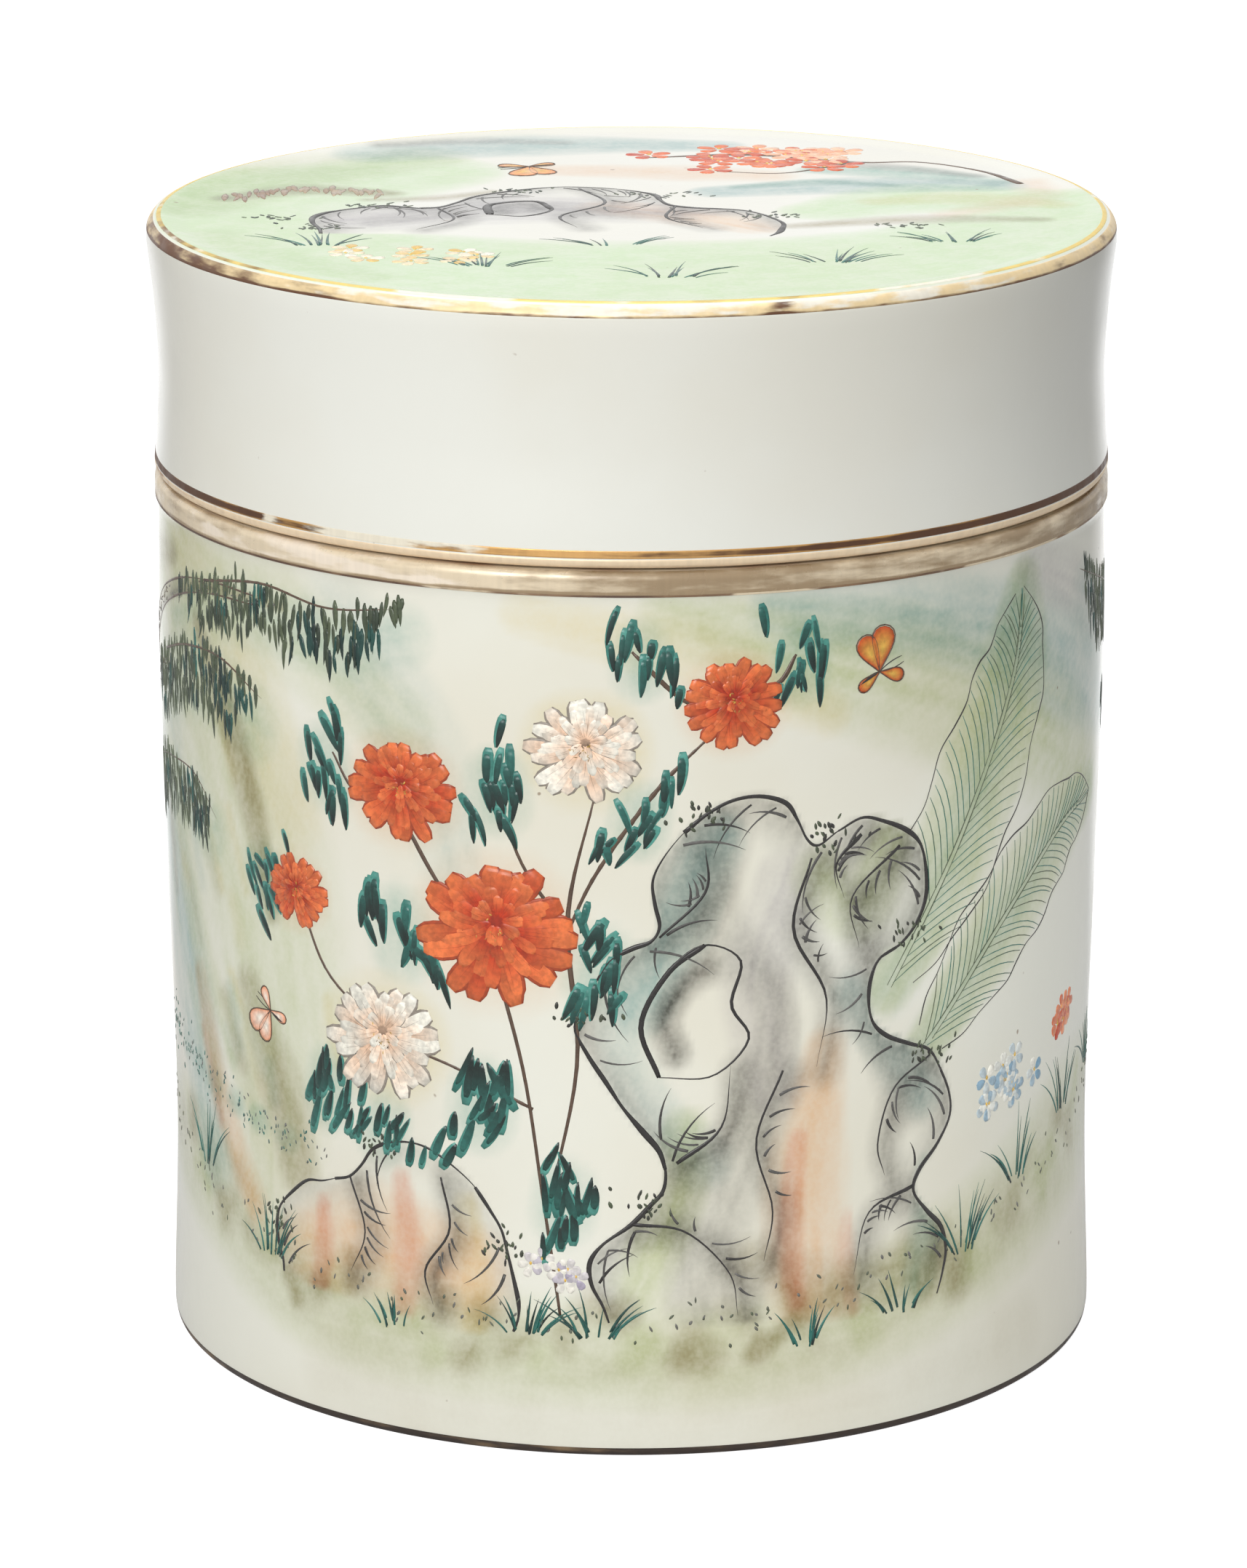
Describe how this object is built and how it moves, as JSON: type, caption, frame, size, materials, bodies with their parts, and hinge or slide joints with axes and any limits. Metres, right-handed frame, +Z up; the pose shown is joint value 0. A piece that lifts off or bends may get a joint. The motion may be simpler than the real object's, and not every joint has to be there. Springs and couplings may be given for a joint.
{
  "type": "lidded jar",
  "caption": "Cylindrical glazed porcelain jar with a foot ring and an inner collar, closed by a flat-topped cap lid that lifts straight off.",
  "frame": {"origin": "centre of the foot ring's seat, on the plane that the jar stands on", "axes": "+Z up along the jar's axis, towards the lid; -Y is the side with the main painted scene"},
  "size_m": [0.1098, 0.1098, 0.13],
  "materials": {
    "jar_glaze": "gloss white glaze with overglaze enamels, worn gilt shoulder band and brown foot edge",
    "lid_glaze": "gloss white glaze with overglaze enamels on the top and worn gilt edges"
  },
  "bodies": {
    "jar": {"jar_body": "jar_glaze"},
    "lid": {"lid": "lid_glaze"}
  },
  "joints": [
    {"name": "lid_lift", "type": "slide", "parent": "jar", "child": "lid", "axis": [0, 0, 1], "range_m": [0, 0.06]}
  ]
}
